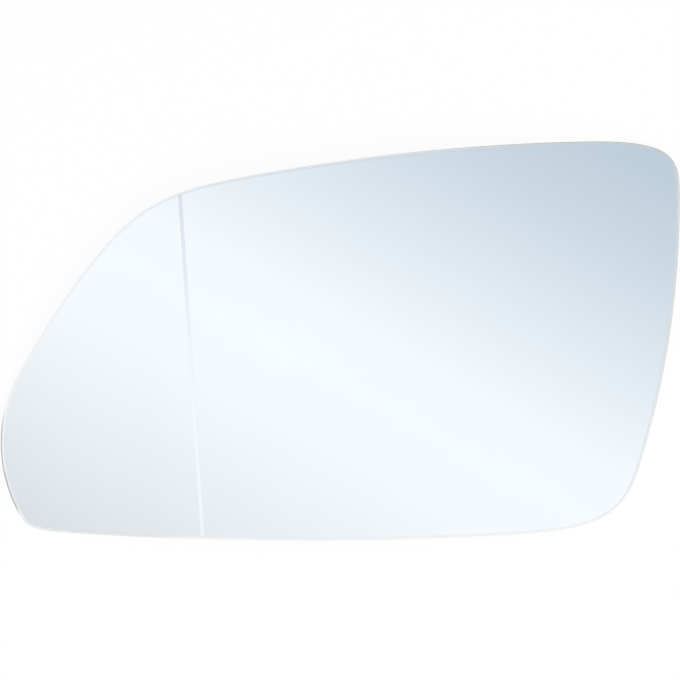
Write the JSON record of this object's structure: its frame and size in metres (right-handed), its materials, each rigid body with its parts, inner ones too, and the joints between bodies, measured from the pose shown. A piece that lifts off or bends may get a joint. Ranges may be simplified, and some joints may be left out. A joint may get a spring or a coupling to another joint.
{
  "type": "car door mirror glass",
  "caption": "Bent pane of mirror glass for a left-hand car door mirror, with a ground edge and an etched line that parts the main view from the wide-angle outer zone.",
  "frame": {"origin": "under the middle of the pane's box, on the surface that it lies on, face up", "axes": "+X along the pane to its inner end, beside the car; +Y to its upper edge; +Z out of the mirrored face"},
  "size_m": [0.17, 0.1, 0.0057],
  "materials": {
    "mirror_glass": "polished mirror face with a faint blue cast, ground edge and painted back"
  },
  "bodies": {
    "root": {"mirror_glass": "mirror_glass"}
  },
  "joints": []
}
